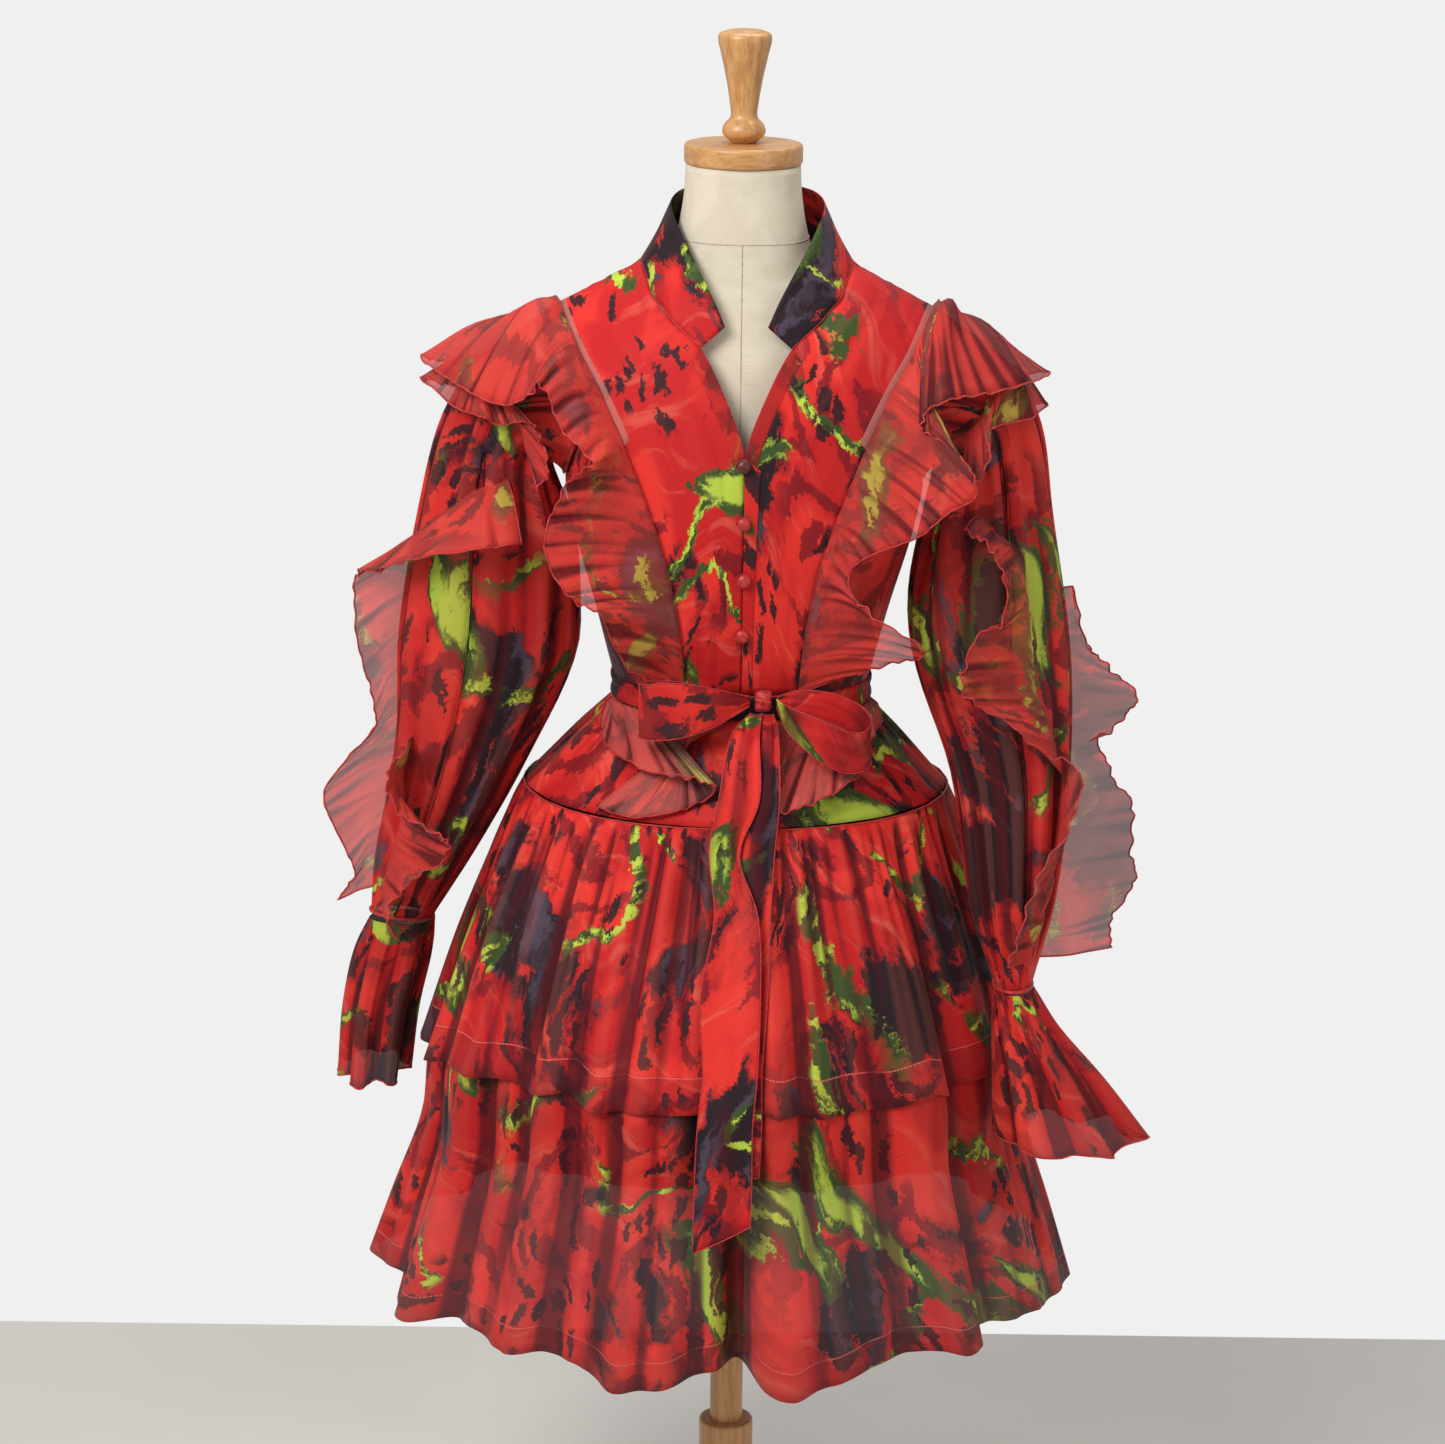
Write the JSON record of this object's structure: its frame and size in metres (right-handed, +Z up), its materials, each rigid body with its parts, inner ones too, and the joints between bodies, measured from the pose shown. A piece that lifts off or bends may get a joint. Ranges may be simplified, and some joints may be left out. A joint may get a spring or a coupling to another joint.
{
  "type": "ruffle dress on dress form",
  "caption": "Tiered long-sleeved dress with ruffles, a bow and a stand collar, worn by a limbless linen dress form on a turned wooden stand.",
  "frame": {"origin": "centre of the underside of the stand's base, on the floor", "axes": "+Z up, the dress faces -Y, +X is to the right as seen from the front"},
  "size_m": [0.8512, 0.7263, 1.7235],
  "materials": {
    "print_cloth": "sheer crinkle cloth with a painterly print, matt",
    "print_cloth_skirt": "the same cloth over a dark lining layer, matt",
    "print_cloth_ruffles": "the same cloth in one layer with rolled edges, matt",
    "covered_buttons": "the same cloth drawn over ball buttons",
    "linen": "plain linen weave, matt",
    "beech": "clear satin lacquer"
  },
  "bodies": {
    "root": {"front_left": "print_cloth", "front_right": "print_cloth", "front_side_left": "print_cloth", "front_side_right": "print_cloth", "back_left": "print_cloth", "back_right": "print_cloth", "back_side_left": "print_cloth", "back_side_right": "print_cloth", "collar": "print_cloth", "yoke": "print_cloth", "upper_tier": "print_cloth", "sleeve_left": "print_cloth", "sleeve_right": "print_cloth", "cuff_frill_left": "print_cloth", "cuff_frill_right": "print_cloth", "lower_tier": "print_cloth_skirt", "belt": "print_cloth_skirt", "shoulder_ruffle_left": "print_cloth_ruffles", "shoulder_ruffle_right": "print_cloth_ruffles", "shoulder_cap_left": "print_cloth_ruffles", "shoulder_cap_right": "print_cloth_ruffles", "sleeve_flounce_outer_left": "print_cloth_ruffles", "sleeve_flounce_outer_right": "print_cloth_ruffles", "sleeve_flounce_front_left": "print_cloth_ruffles", "sleeve_flounce_front_right": "print_cloth_ruffles", "peplum_left": "print_cloth_ruffles", "peplum_right": "print_cloth_ruffles", "bow_loop_left": "print_cloth_ruffles", "bow_loop_right": "print_cloth_ruffles", "bow_tail_front": "print_cloth_ruffles", "bow_tail_back": "print_cloth_ruffles", "bow_knot": "print_cloth_ruffles", "button_1": "covered_buttons", "button_2": "covered_buttons", "button_3": "covered_buttons", "button_4": "covered_buttons", "form_torso": "linen", "neck_cap": "beech", "handle": "beech", "pole": "beech", "pole_collar": "beech", "stand_base": "beech"}
  },
  "joints": []
}
